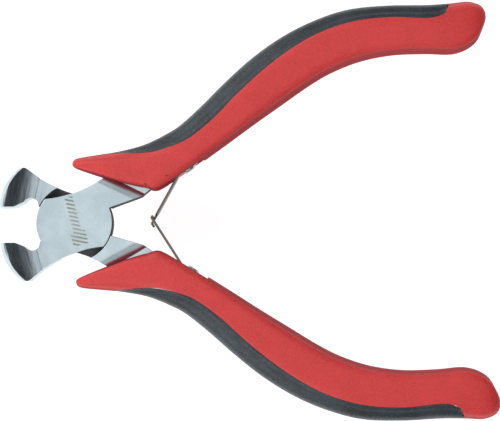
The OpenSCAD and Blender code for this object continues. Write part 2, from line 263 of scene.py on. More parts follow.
def handle():
    """The whole handle: one ring shaped to its section, then drawn out from nose to tail."""
    bpy.ops.object.select_all(action="DESELECT")
    bpy.ops.mesh.primitive_circle_add(vertices=RING, radius=MM, rotation=UPRIGHT)
    obj = bpy.context.active_object
    obj.name = "handle"
    bpy.ops.object.transform_apply(rotation=True)
    bpy.ops.object.mode_set(mode="EDIT")
    bpy.ops.mesh.select_mode(type="VERT")
    for k in range(RING):
        choose(obj, "verts", lambda v, k=k: v.index == k)
        points = bmesh.from_edit_mesh(obj.data).verts
        points.ensure_lookup_table()
        now = points[k].co
        reach = section(now.x / MM, now.z / MM)
        bpy.ops.transform.translate(value=now * (reach - 1))
    bpy.ops.mesh.select_all(action="SELECT")
    centre, angle, half_w, half_t = Vector((0, 0, 0)), 0, 1, 1
    stations = eased(FIRST_RING, LAST_RING, RINGS)
    for k, s in enumerate(stations):
        a = along(INNER, s)
        way = across(s)
        new_w = width_at(s) / 2
        new_t = GRIP_HALF_T * along(FULLNESS, s)
        new_angle = math.atan2(way.y, way.x)
        new_centre = Vector((*(a + way * new_w), 0)) * MM
        if k:
            bpy.ops.mesh.extrude_region_move()
        turn(-angle, centre)
        bpy.ops.transform.resize(value=(new_w / half_w, 1, new_t / half_t), center_override=centre)
        turn(new_angle, centre)
        bpy.ops.transform.translate(value=new_centre - centre)
        centre, angle, half_w, half_t = new_centre, new_angle, new_w, new_t
        if k in (0, len(stations) - 1):
            bpy.ops.mesh.edge_face_add()
            if k == 0:
                bpy.ops.mesh.select_all(action="SELECT")
    bpy.ops.mesh.select_all(action="SELECT")
    bpy.ops.mesh.normals_make_consistent(inside=False)
    bpy.ops.object.mode_set(mode="OBJECT")
    return obj


def insert_space(gap):
    """Where the soft insert goes, drawn back by a gap from the line where it meets the hard body."""
    stations = spread(INSERT_FROM, INSERT_TO, 60)
    line = [deep(s, width_at(s) * (1 - insert_share(s)) + gap) for s in stations]
    beyond = [deep(s, width_at(s) + BEYOND) for s in stations[::-6]]
    return outline("insert space", line + beyond, -CLEAR_OF_GRIP, CLEAR_OF_GRIP)


def spring_window():
    """The window in the grip's inner edge, through which the spring reaches the tang."""
    stations = spread(WINDOW_FROM, WINDOW_TO, 8)
    floor_line = [deep(s, GRIP_WALL + WINDOW_DEPTH) for s in stations]
    mouth_line = [deep(s, -BEYOND) for s in reversed(stations)]
    return outline("spring window", floor_line + mouth_line, -WINDOW_HALF_W, WINDOW_HALF_W)


def nearest_station(at):
    """The station whose line across the grip passes through a point."""
    low, high = 0, len(INNER) - 1
    for _ in range(24):
        mid = (low + high) / 2
        way = across(mid)
        ahead = Vector((-way.y, way.x)).dot(at - along(INNER, mid))
        low, high = (low, mid) if ahead > 0 else (mid, high)
    return (low + high) / 2


def press_groove(obj):
    """Presses a soft groove along the insert, part way between the hard body and its outer edge."""
    field = obj.vertex_groups.new(name="groove")
    for v in obj.data.vertices:
        at = Vector((v.co.x, v.co.y)) / MM
        s = nearest_station(at)
        share = insert_share(s)
        if share > GROOVE_LEAST:
            past = ((at - along(INNER, s)).dot(across(s)) / width_at(s) - 1 + share) / share
            near = math.exp(-((past - GROOVE_AT) / GROOVE_SPREAD) ** 2)
            field.add([v.index], near * min(1, share / GROOVE_FULL), "REPLACE")
    modify(obj, "DISPLACE", strength=-GROOVE_DEPTH * MM, mid_level=0, vertex_group="groove")


whole = handle()
space = insert_space(0)
inset = insert_space(SEAM_GAP)
window = spring_window()
insert = copy_of(whole, "insert")
cut(insert, inset, "INTERSECT")
body = copy_of(whole, "body")
cut(body, space)
cut(body, window)
for tool in (whole, space, inset, window):
    bpy.data.objects.remove(tool)

soften(body, 40, 0.12)
soften(insert, 40, 0.16)
press_groove(insert)

grips = {}
for side, place in SIDES.items():
    for part, pattern in (("body", body), ("insert", insert)):
        piece = copy_of(pattern, f"{side}_grip_{part}_finished")
        settle(piece, place)
        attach(piece, BODY_OF[side])
        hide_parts(f"{side}_grip_{part}")
        grips[side, part] = piece
for pattern in (body, insert):
    bpy.data.objects.remove(pattern)

# ---- leaf springs: one strip each, swept as by hand from the riveted foot to the hooked end

SPRING_W, SPRING_T = 5, 0.5
FOOT_STATION, FOOT_LEN, FOOT_GAP = 7, 4.8, 0.02
MEET = 17                   # from the rivet to where the two arms cross
TONGUE_W, TONGUE_BACK, TONGUE_PAST, HOOK_LEN = 1.7, 1.6, 0.75, 0.9
BAR_PAST, LIP_LEN, LIP_TURN = 0.9, 0.5, 100
HOLE_PAST, HOLE_LEN, HOLE_HALF_W = 0.45, 2.2, 1.3
foot_start = deep(FOOT_STATION, GRIP_WALL)
foot_way = (deep(FOOT_STATION + 0.7, GRIP_WALL) - foot_start).normalized()
foot_out = Vector((foot_way.y, -foot_way.x))
bend = foot_start + foot_out * (SPRING_T / 2 + FOOT_GAP)
crossing = Vector((math.cos(HALF_OPEN), -math.sin(HALF_OPEN))) * MEET
arm_way = (crossing - bend).normalized()
arm_side = Vector((-arm_way.y, arm_way.x))
hook_angle = math.pi - 2 * (math.pi + math.atan2(arm_way.y, arm_way.x) + HALF_OPEN)


def bent_path(points, radius, steps=6):
    """A path in plan whose corners are rounded off to a radius."""
    path = [points[0]]
    for a, b, c in zip(points, points[1:], points[2:]):
        into, out = (b - a).normalized(), (c - b).normalized()
        half = into.angle(out) / 2
        reach = radius * math.tan(half)
        first, last = b - into * reach, b + out * reach
        for t in spread(0, 1, steps):
            path.append(first * (1 - t) ** 2 + 2 * b * t * (1 - t) + last * t * t)
    return path + [points[-1]]


def strip(name, path, widths):
    """Sweeps the strip's thin section along a path, with a width at each point."""
    bpy.ops.object.select_all(action="DESELECT")
    bpy.ops.mesh.primitive_plane_add(size=MM, rotation=UPRIGHT)
    obj = bpy.context.active_object
    obj.name = name
    bpy.ops.object.transform_apply(rotation=True)
    bpy.ops.object.mode_set(mode="EDIT")
    bpy.ops.mesh.select_all(action="SELECT")
    centre, angle, wide, thick = Vector((0, 0, 0)), 0, 1, 1
    for k, point in enumerate(path):
        before, after = path[max(k - 1, 0)], path[min(k + 1, len(path) - 1)]
        way = after - before
        new_angle = math.atan2(way.y, way.x) - math.pi / 2
        skew = way.angle(after - point) if (after - point).length else 0
        new_thick = SPRING_T / max(0.6, math.cos(skew))
        if k:
            bpy.ops.mesh.extrude_region_move()
        turn(-angle, centre)
        bpy.ops.transform.resize(value=(new_thick / thick, 1, widths[k] / wide), center_override=centre)
        turn(new_angle, centre)
        there = Vector((point.x, point.y, 0)) * MM
        bpy.ops.transform.translate(value=there - centre)
        centre, angle, wide, thick = there, new_angle, widths[k], new_thick
    bpy.ops.mesh.select_all(action="SELECT")
    bpy.ops.mesh.normals_make_consistent(inside=False)
    bpy.ops.object.mode_set(mode="OBJECT")
    return obj


foot_end = bend + foot_way * FOOT_LEN
tongue_start = crossing - arm_way * TONGUE_BACK
tongue_end = crossing + arm_way * TONGUE_PAST
hook_way = Matrix.Rotation(hook_angle, 2) @ arm_way
hook_end = tongue_end + hook_way * HOOK_LEN

tongue_path = bent_path([foot_end, bend, tongue_start], 0.75)
tongue_widths = [SPRING_W] * len(tongue_path)
end_path = bent_path([tongue_start + arm_way * 0.35, tongue_end, hook_end], 0.3)
tongue_path += end_path
tongue_widths += [TONGUE_W] * len(end_path)
tongue_spring = strip("tongue spring", tongue_path, tongue_widths)

bar_end = crossing + arm_way * BAR_PAST
lip_end = bar_end + (Matrix.Rotation(math.radians(LIP_TURN), 2) @ arm_way) * LIP_LEN
window_path = bent_path([foot_end, bend, bar_end, lip_end], 0.35)
window_spring = strip("window spring", window_path, [SPRING_W] * len(window_path))
far = crossing + arm_way * HOLE_PAST
near = far - arm_way * HOLE_LEN
hole_line = [near - arm_side, far - arm_side, far + arm_side, near + arm_side]
hole = outline("hole", hole_line, -HOLE_HALF_W, HOLE_HALF_W)
cut(window_spring, hole)
bpy.data.objects.remove(hole)

springs = {}
for side, pattern in (("upper", tongue_spring), ("lower", window_spring)):
    soften(pattern, 50, 0.07, clamp=False)
    pattern.name = f"{side}_leaf_spring"
    settle(pattern, SIDES[side])
    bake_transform(pattern)
    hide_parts(f"{side}_spring_foot", f"{side}_spring_arm")
    springs[side] = pattern


PIN_SHARE = 0.55            # place along the foot
PIN_HEAD_R, PIN_HEAD_H, PIN_TOP_SHARE = 1.6, 0.45, 0.82
PIN_SEAT_GAP = 0.06
PIN_SHANK_INSET, PIN_SHANK_LEN = 0.7, 2.6
PIN_DOME_INSET, PIN_DOME_RISE = 0.45, 0.12


def spring_rivet():
    """The small domed rivet that holds a spring's foot."""
    at = foot_start + foot_way * FOOT_LEN * PIN_SHARE
    bpy.ops.object.select_all(action="DESELECT")
    bpy.ops.mesh.primitive_cylinder_add(vertices=40, radius=PIN_HEAD_R * MM, depth=PIN_HEAD_H * MM)
    obj = bpy.context.active_object
    obj.name = "spring rivet"
    bpy.ops.object.mode_set(mode="EDIT")
    bpy.ops.mesh.select_mode(type="FACE")
    choose(obj, "faces", lambda f: f.normal.z > 0.9)
    bpy.ops.transform.resize(value=(PIN_TOP_SHARE, PIN_TOP_SHARE, 1), center_override=(0, 0, 0))
    bpy.ops.mesh.inset(thickness=PIN_DOME_INSET * MM)
    bpy.ops.transform.translate(value=(0, 0, PIN_DOME_RISE * MM))
    choose(obj, "faces", lambda f: f.normal.z < -0.9)
    bpy.ops.mesh.inset(thickness=PIN_SHANK_INSET * MM)
    bpy.ops.mesh.extrude_region_move(TRANSFORM_OT_translate={"value": (0, 0, -PIN_SHANK_LEN * MM)})
    bpy.ops.object.mode_set(mode="OBJECT")
    head_at = at + foot_out * (SPRING_T + PIN_SEAT_GAP + PIN_HEAD_H / 2)
    facing = Vector((*foot_out, 0)).to_track_quat("Z", "Y").to_matrix().to_4x4()
    settle(obj, Matrix.Translation(Vector((*head_at, 0)) * MM) @ facing)
    soften(obj, 25, 0.09)
    return obj


rivet = spring_rivet()
rivets = {}
for side, place in SIDES.items():
    piece = copy_of(rivet, f"{side}_leaf_spring_rivet")
    settle(piece, place)
    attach(piece, BODY_OF[side])
    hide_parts(f"{side}_spring_rivet")
    rivets[side] = piece
bpy.data.objects.remove(rivet)

# ---- forgings: the CAD's solids, with their edges broken as a tumbled forging's are


# The flared jaw's far corner, the ways that its flank and its nose leave it, and the
# radius that it is ground to.
JAW_CORNER = Vector((-13.16, -9.94))
JAW_FLANK = Vector((0.87, 0.49)).normalized()
JAW_NOSE = Vector((-0.69, 0.72)).normalized()
JAW_CORNER_R = 1.7
CLEAR_OF_JAW = 8
EDGE_BREAK = 0.11
WELD_GAP = 0.002
RIVET_HOLE_REACH = 4.5      # round the pivot, where the edge stays sharp


def corner_waste():
    """What is ground off the flared jaw's far corner, to round it."""
    half = JAW_FLANK.angle(JAW_NOSE) / 2
    inward = (JAW_FLANK + JAW_NOSE).normalized()
    middle = JAW_CORNER + inward * (JAW_CORNER_R / math.sin(half))
    start = math.atan2(*reversed(JAW_CORNER - middle))
    turned = spread(-(math.pi / 2 - half), math.pi / 2 - half, 9)
    arc = [middle + Vector((math.cos(start + a), math.sin(start + a))) * JAW_CORNER_R for a in turned]
    outside = [end + (end - middle) * 0.6 for end in (arc[-1], arc[0])]
    outside.insert(1, JAW_CORNER - inward * 1.5)
    return outline("corner waste", arc + outside, -CLEAR_OF_JAW, CLEAR_OF_JAW)


def stays_sharp(edge):
    """A hollow crease, or the edge of the pivot rivet's hole."""
    return not edge.is_convex or edge.verts[0].co.xy.length < RIVET_HOLE_REACH * MM


def forging(node, name, side):
    """A steel half: the CAD's solid, welded, with its jaw's corner ground and its edges broken."""
    piece = copy_of(NODES[node], name)
    only(piece)
    bpy.ops.object.mode_set(mode="EDIT")
    bpy.ops.mesh.select_all(action="SELECT")
    bpy.ops.mesh.remove_doubles(threshold=WELD_GAP * MM)
    bpy.ops.mesh.dissolve_limited(angle_limit=math.radians(0.6), delimit={"SHARP"})
    bpy.ops.object.mode_set(mode="OBJECT")
    waste = corner_waste()
    settle(waste, SIDES[side])
    cut(piece, waste)
    bpy.data.objects.remove(waste)
    soften(piece, 28, EDGE_BREAK, clamp=False, spare=stays_sharp)
    bpy.ops.object.mode_set(mode="EDIT")
    bpy.ops.mesh.select_all(action="SELECT")
    bpy.ops.mesh.dissolve_degenerate(threshold=SLIVER * MM)
    bpy.ops.object.mode_set(mode="OBJECT")
    modify(piece, "WEIGHTED_NORMAL", keep_sharp=True, weight=100)
    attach(piece, BODY_OF[side])
    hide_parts(node)
    return piece


forgings = {
    "upper": forging("front_half", "front_half_finished", "upper"),
    "lower": forging("back_half", "back_half_finished", "lower"),
}

# ---- building shader nodes


def add(tree, kind, inputs=None, **settings):
    """Adds a shader node, and sets its settings and its inputs, or links them."""
    node = tree.nodes.new("ShaderNode" + kind)
    for name, value in settings.items():
        setattr(node, name, value)
    for name, value in (inputs or {}).items():
        if isinstance(value, bpy.types.NodeSocket):
            tree.links.new(value, node.inputs[name])
        else:
            node.inputs[name].default_value = value
    return node


def maths(tree, operation, a, b=0.0, c=0.0):
    return add(tree, "Math", {0: a, 1: b, 2: c}, operation=operation).outputs[0]


def ramp(tree, value, low, high, start=0.0, end=1.0):
    """Value turned into start..end as it goes from low to high, and held beyond them."""
    inputs = {"Value": value, "From Min": low, "From Max": high, "To Min": start, "To Max": end}
    return add(tree, "MapRange", inputs, clamp=True, interpolation_type="SMOOTHSTEP").outputs[0]


def times(tree, *values):
    """All the values multiplied together."""
    out = values[0]
    for value in values[1:]:
        out = maths(tree, "MULTIPLY", out, value)
    return out


def mix_colour(tree, mask, a, b):
    return add(tree, "Mix", {0: mask, 6: a, 7: b}, data_type="RGBA").outputs[2]


def mix_value(tree, mask, a, b):
    return add(tree, "Mix", {0: mask, 2: a, 3: b}, data_type="FLOAT").outputs[0]


def reverse(tree, value):
    return maths(tree, "SUBTRACT", 1.0, value)


def split(tree, vector):
    """The X, Y and Z of a vector."""
    return add(tree, "SeparateXYZ", {0: vector}).outputs


def noise(tree, place, scale, detail=2.0, rough=0.5):
    inputs = {"Vector": place, "Scale": scale, "Detail": detail, "Roughness": rough}
    return add(tree, "TexNoise", inputs).outputs[0]


def group(name, inputs, outputs):
    """A node group with these named sockets: its tree, what comes in and what goes out."""
    tree = bpy.data.node_groups.new(name, "ShaderNodeTree")
    for label, kind, value in inputs:
        socket = tree.interface.new_socket(name=label, in_out="INPUT", socket_type="NodeSocket" + kind)
        if value is not None:
            socket.default_value = value
    for label, kind in outputs:
        tree.interface.new_socket(name=label, in_out="OUTPUT", socket_type="NodeSocket" + kind)
    return tree, tree.nodes.new("NodeGroupInput").outputs, tree.nodes.new("NodeGroupOutput").inputs


# ---- shared effects


def moulded_grain():
    """The fine matte texture that a spark-eroded mould leaves, with a few light flecks."""
    tree, take, give = group(
        "moulded grain",
        [("Place", "Vector", None), ("Size mm", "Float", 0.3)],
        [("Height", "Float"), ("Fleck", "Float"), ("Mottle", "Float")],
    )
    scale = maths(tree, "DIVIDE", 1000.0, take["Size mm"])
    fine = noise(tree, take["Place"], scale, 3.0, 0.6)
    pits = add(tree, "TexVoronoi", {"Vector": take["Place"], "Scale": maths(tree, "MULTIPLY", scale, 0.8)})
    height = mix_value(tree, 0.4, fine, pits.outputs["Distance"])
    grit = noise(tree, take["Place"], maths(tree, "MULTIPLY", scale, 1.7), 1.0, 0.5)
    tree.links.new(height, give["Height"])
    tree.links.new(ramp(tree, grit, 0.56, 0.74), give["Fleck"])
    tree.links.new(noise(tree, take["Place"], 140.0, 3.0, 0.6), give["Mottle"])
    return tree


def brushed_lines():
    """Fine lines left by grinding or rolling. Stretch runs the lines along the axes it is small on."""
    tree, take, give = group(
        "brushed lines",
        [("Place", "Vector", None), ("Turn", "Vector", (0, 0, 0)), ("Stretch", "Vector", (1, 1, 1))],
        [("Height", "Float"), ("Streak", "Float")],
    )
    laid = add(tree, "Mapping", {"Vector": take["Place"], "Rotation": take["Turn"]}, vector_type="TEXTURE")
    stretch = {0: laid.outputs[0], 1: take["Stretch"]}
    drawn = add(tree, "VectorMath", stretch, operation="MULTIPLY").outputs[0]
    fine = noise(tree, drawn, 1.0, 3.0, 0.65)
    broad = noise(tree, drawn, 0.3, 2.0, 0.5)
    tree.links.new(mix_value(tree, 0.4, fine, broad), give["Height"])
    tree.links.new(ramp(tree, broad, 0.3, 0.7), give["Streak"])
    return tree


def edge_wear_and_glint():
    """Masks the outward edges, broken up by noise, for rubbing and for a painted edge highlight."""
    tree, take, give = group(
        "edge wear",
        [("Place", "Vector", None), ("Reach mm", "Float", 0.2), ("Spread", "Float", 0.1)],
        [("Mask", "Float")],
    )
    reach = maths(tree, "MULTIPLY", take["Reach mm"], MM)
    rounded = add(tree, "Bevel", {"Radius": reach}, samples=4).outputs[0]
    true = add(tree, "NewGeometry").outputs["Normal"]
    turned = add(tree, "VectorMath", {0: rounded, 1: true}, operation="DOT_PRODUCT").outputs["Value"]
    mask = ramp(tree, reverse(tree, turned), 0.0, take["Spread"])
    broken = ramp(tree, noise(tree, take["Place"], 900.0, 3.0, 0.6), 0.35, 0.6, 0.35, 1.0)
    tree.links.new(times(tree, mask, broken), give["Mask"])
    return tree


def scuff():
    """A small rubbed mark with a ragged edge, at a centre, turned and sized in millimetres."""
    tree, take, give = group(
        "scuff",
        [
            ("Place", "Vector", None),
            ("Centre mm", "Vector", (0, 0, 0)),
            ("Turn", "Vector", (0, 0, 0)),
            ("Half size mm", "Vector", (1, 1, 1)),
        ],
        [("Mask", "Float")],
    )
    centre = add(tree, "VectorMath", {0: take["Centre mm"], "Scale": MM}, operation="SCALE").outputs[0]
    size = add(tree, "VectorMath", {0: take["Half size mm"], "Scale": MM}, operation="SCALE").outputs[0]
    inputs = {"Vector": take["Place"], "Location": centre, "Rotation": take["Turn"], "Scale": size}
    laid = add(tree, "Mapping", inputs, vector_type="TEXTURE").outputs[0]
    away = add(tree, "VectorMath", {0: laid}, operation="LENGTH").outputs["Value"]
    ragged = ramp(tree, noise(tree, take["Place"], 2600.0, 3.0, 0.7), 0.3, 0.7, -0.35, 0.35)
    tree.links.new(ramp(tree, maths(tree, "ADD", away, ragged), 0.7, 1.05, 1.0, 0.0), give["Mask"])
    return tree


GRAIN = moulded_grain()
LINES = brushed_lines()
WEAR_AND_GLINT = edge_wear_and_glint()
SCUFF = scuff()

# ---- materials. Colours are linear.

STEEL_BRIGHT = (0.54, 0.64, 0.685, 1)
STEEL_DULL = (0.46, 0.555, 0.60, 1)
STEEL_FLECK = (0.36, 0.43, 0.47, 1)
# Painted dark reflection in the ground hollows
STEEL_HOLLOW_SHADE = (0.30, 0.34, 0.37, 1)
# Forge scale with painted shade, in two tones
STEEL_SCALE_SHADE = (0.02, 0.02, 0.022, 1)
STEEL_SCALE_SHADE_PALE = (0.06, 0.06, 0.065, 1)
# Painted edge highlight, with rubbing
STEEL_EDGE_GLINT = (0.82, 0.86, 0.88, 1)
PRINT_COLOUR = (0.33, 0.33, 0.30, 1)
RED_DEEP = (0.56, 0.028, 0.028, 1)
RED_LIGHT = (0.74, 0.043, 0.042, 1)
RED_FLECK = (0.80, 0.12, 0.12, 1)
# Painted edge highlight, with rubbing
RED_RUBBED_GLINT = (0.72, 0.10, 0.10, 1)
# Painted shade on the steep walls
RED_WALL_SHADE = (0.36, 0.02, 0.027, 1)
RED_SCUFF = (0.12, 0.02, 0.02, 1)
GREY_DEEP = (0.009, 0.015, 0.021, 1)
GREY_LIGHT = (0.024, 0.036, 0.046, 1)
# Pale flecks, and the painted edge highlight
GREY_FLECK_AND_GLINT = (0.10, 0.135, 0.16, 1)
SPRING_DARK = (0.13, 0.12, 0.115, 1)
SPRING_LIGHT = (0.2, 0.19, 0.18, 1)
# Painted edge highlight, with rubbing
SPRING_EDGE_GLINT = (0.5, 0.49, 0.47, 1)

STEEL_GRAIN, RED_GRAIN, GREY_GRAIN = 0.22, 0.35, 0.45
# Scuffs on the upper grip: centre, turn and half size
UPPER_MARKS = [((15.7, 7.85, 8.3), -20, (0.55, 0.22, 1.5)), ((20.3, 9.45, 8.3), 12, (0.5, 0.18, 1.5))]
# The print on the joint's face, as boxes in the front half's frame, and its bars
LAP_R = 8.28
PRINT_ROW = ((-0.65, 1.1), (-2.5, 5.7))
PRINT_BLOCK = ((-1.45, 1.85), (-5, -2))
PRINT_PITCH, PRINT_BAR, PRINT_SLANT = 0.92, 0.22, 0.5
PRINT_SOFT = 0.03


def material(name, rough=0.5, metal=0.0):
    """A material with its own shader, its tree, and where a point of the piece is."""
    mat = bpy.data.materials.new(name)
    mat.use_nodes = True
    tree = mat.node_tree
    shader = tree.nodes["Principled BSDF"]
    shader.inputs["Roughness"].default_value = rough
    shader.inputs["Metallic"].default_value = metal
    return mat, tree, shader, add(tree, "TexCoord")


def feed(tree, shader, **sockets):
    """Links a colour, a roughness or a metalness to the shader."""
    names = {"colour": "Base Color", "rough": "Roughness", "metal": "Metallic"}
    for key, value in sockets.items():
        tree.links.new(value, shader.inputs[names[key]])


def raise_bump(tree, shader, height, deep_mm, after=None):
    """Gives the surface a relief this deep, over an earlier one where there is one."""
    inputs = {"Height": height, "Distance": deep_mm * MM}
    if after:
        inputs["Normal"] = after
    bump = add(tree, "Bump", inputs).outputs[0]
    tree.links.new(bump, shader.inputs["Normal"])
    return bump


def hatch_print(tree, x, y, up):
    """A plain row of slanted bars that ends in a wider block of them, etched on the plate."""
    def between(value, low, high):
        after = ramp(tree, value, (low - PRINT_SOFT) * MM, (low + PRINT_SOFT) * MM)
        before = ramp(tree, value, (high - PRINT_SOFT) * MM, (high + PRINT_SOFT) * MM, 1.0, 0.0)
        return times(tree, after, before)

    def inside(box):
        return times(tree, between(x, *box[0]), between(y, *box[1]))

    slanted = maths(tree, "MULTIPLY_ADD", x, PRINT_SLANT, y)
    step = maths(tree, "FRACT", maths(tree, "DIVIDE", slanted, PRINT_PITCH * MM))
    off = maths(tree, "ABSOLUTE", maths(tree, "SUBTRACT", step, 0.5))
    bar = ramp(tree, off, PRINT_BAR - 0.04, PRINT_BAR + 0.04, 1.0, 0.0)
    field = maths(tree, "MAXIMUM", inside(PRINT_ROW), inside(PRINT_BLOCK))
    return times(tree, bar, field, ramp(tree, up, 0.9, 0.98))


def forged_steel(name, turn_back, printed):
    """Satin plated steel: speckled flats, ground hollows darkened as a painted reflection, inner walls, the
    lap ring's wall and the lap face dark with forge scale and painted shade, and edges lightened where
    rubbed and as a painted highlight.
    """
    mat, tree, shader, coords = material(name, metal=1.0)
    place = coords.outputs["Object"]
    own_place = {"Vector": place, "Location": (0, 0, MID_Z), "Rotation": turn_back}
    own_way = {"Vector": coords.outputs["Normal"], "Rotation": turn_back}
    local = add(tree, "Mapping", own_place, vector_type="TEXTURE").outputs[0]
    at = split(tree, local)
    way = split(tree, add(tree, "Mapping", own_way, vector_type="TEXTURE").outputs[0])
    grain = add(tree, "Group", {"Place": place, "Size mm": STEEL_GRAIN}, node_tree=GRAIN).outputs
    ground = add(tree, "Group", {"Place": local, "Stretch": (5200, 420, 900)}, node_tree=LINES).outputs
    wear_and_glint = add(tree, "Group", {"Place": place, "Reach mm": 0.16, "Spread": 0.12}, node_tree=WEAR_AND_GLINT).outputs[0]

    broken = maths(tree, "MULTIPLY_ADD", maths(tree, "SUBTRACT", ground["Height"], 0.5), 4.2 * MM, at[0])
    hollow = ramp(tree, broken, -12.5 * MM, -5.0 * MM, 1.0, 0.0)
    steep = maths(tree, "ABSOLUTE", way[2])
    wall = ramp(tree, steep, 0.35, 0.7, 1.0, 0.0)
    inward = maths(tree, "MULTIPLY_ADD", way[1], -0.8, maths(tree, "MULTIPLY", way[0], 0.6))
    inner_wall = times(tree, ramp(tree, inward, 0.1, 0.4), ramp(tree, at[0], 1 * MM, 4 * MM))
    shaded_inner_wall = times(tree, ramp(tree, steep, 0.8, 0.97, 1.0, 0.0), inner_wall)
    squares = maths(tree, "MULTIPLY_ADD", at[0], at[0], maths(tree, "MULTIPLY", at[1], at[1]))
    away = maths(tree, "SQRT", squares)
    off_ring = maths(tree, "ABSOLUTE", maths(tree, "SUBTRACT", away, LAP_R * MM))
    on_ring = ramp(tree, off_ring, 0.15 * MM, 0.35 * MM, 1.0, 0.0)
    behind = ramp(tree, at[0], -2 * MM, -1 * MM)
    ring_wall = times(tree, on_ring, behind, ramp(tree, steep, 0.6, 0.9, 1.0, 0.0))
    off_lap = maths(tree, "ABSOLUTE", at[2])
    facing_lap = ramp(tree, way[2], -0.95, -0.8, 1.0, 0.0)
    lap_face = times(tree, facing_lap, ramp(tree, off_lap, 0.1 * MM, 0.4 * MM, 1.0, 0.0))
    dark = maths(tree, "MAXIMUM", shaded_inner_wall, maths(tree, "MAXIMUM", ring_wall, lap_face))
    flat = reverse(tree, wall)

    colour = mix_colour(tree, ramp(tree, grain["Mottle"], 0.35, 0.65), STEEL_DULL, STEEL_BRIGHT)
    colour = mix_colour(tree, times(tree, grain["Fleck"], 0.35), colour, STEEL_FLECK)
    # Painted reflection: the flat parts of the ground hollows are darkened in brushed streaks, as if
    # reflecting dark surroundings.
    shade = times(tree, hollow, flat, ramp(tree, ground["Height"], 0.4, 0.58, 0.3, 1.0))
    colour = mix_colour(tree, shade, colour, STEEL_HOLLOW_SHADE)
    # Painted shade, with dark forge scale: the steep inner walls, the wall of the lap ring and the exposed
    # lap face are painted nearly black, rougher and less metallic.
    scale_and_shade = mix_colour(tree, ramp(tree, grain["Mottle"], 0.3, 0.7), STEEL_SCALE_SHADE, STEEL_SCALE_SHADE_PALE)
    colour = mix_colour(tree, times(tree, dark, 0.94), colour, scale_and_shade)
    rough = mix_value(tree, hollow, ramp(tree, grain["Height"], 0.3, 0.7, 0.27, 0.36), 0.34)
    rough = mix_value(tree, dark, rough, 0.85)
    metal = ramp(tree, dark, 0.0, 1.0, 1.0, 0.15)
    if printed:
        bitten = ramp(tree, grain["Height"], 0.25, 0.5, 0.75, 1.0)
        ink = times(tree, hatch_print(tree, at[0], at[1], way[2]), bitten)
        colour = mix_colour(tree, ink, colour, PRINT_COLOUR)
        rough = mix_value(tree, ink, rough, 0.6)
    # Painted highlight, with rubbing: the outward edges, away from the inner walls, are lightened nearly to
    # white.
    edge_glint_and_wear = times(tree, wear_and_glint, reverse(tree, inner_wall), 0.8)
    colour = mix_colour(tree, edge_glint_and_wear, colour, STEEL_EDGE_GLINT)
    feed(tree, shader, colour=colour, rough=rough, metal=metal)
    fine = raise_bump(tree, shader, grain["Height"], 0.006)
    raise_bump(tree, shader, times(tree, ground["Height"], hollow, flat), 0.045, fine)
    return mat


def rivet_steel(name, printed=False):
    """Faced steel with faint rings round the rivet's middle."""
    mat, tree, shader, coords = material(name, metal=1.0)
    place = coords.outputs["Object"]
    flat = add(tree, "VectorMath", {0: place, 1: (1, 1, 0)}, operation="MULTIPLY").outputs[0]
    away = add(tree, "VectorMath", {0: flat}, operation="LENGTH").outputs["Value"]
    rings = noise(tree, add(tree, "CombineXYZ", {0: away}).outputs[0], 5200.0, 2.0, 0.6)
    grain = add(tree, "Group", {"Place": place, "Size mm": STEEL_GRAIN}, node_tree=GRAIN).outputs
    colour = mix_colour(tree, ramp(tree, grain["Mottle"], 0.35, 0.65), STEEL_DULL, STEEL_BRIGHT)
    colour = mix_colour(tree, ramp(tree, rings, 0.4, 0.7, 0.0, 0.12), colour, STEEL_FLECK)
    if printed:
        own = {"Vector": place, "Rotation": (0, 0, HALF_OPEN)}
        at = split(tree, add(tree, "Mapping", own, vector_type="TEXTURE").outputs[0])
        up = split(tree, coords.outputs["Normal"])[2]
        bitten = ramp(tree, grain["Height"], 0.25, 0.5, 0.75, 1.0)
        ink = times(tree, hatch_print(tree, at[0], at[1], up), bitten)
        colour = mix_colour(tree, ink, colour, PRINT_COLOUR)
    feed(tree, shader, colour=colour, rough=ramp(tree, rings, 0.3, 0.7, 0.26, 0.36))
    raise_bump(tree, shader, mix_value(tree, 0.5, rings, grain["Height"]), 0.006)
    return mat


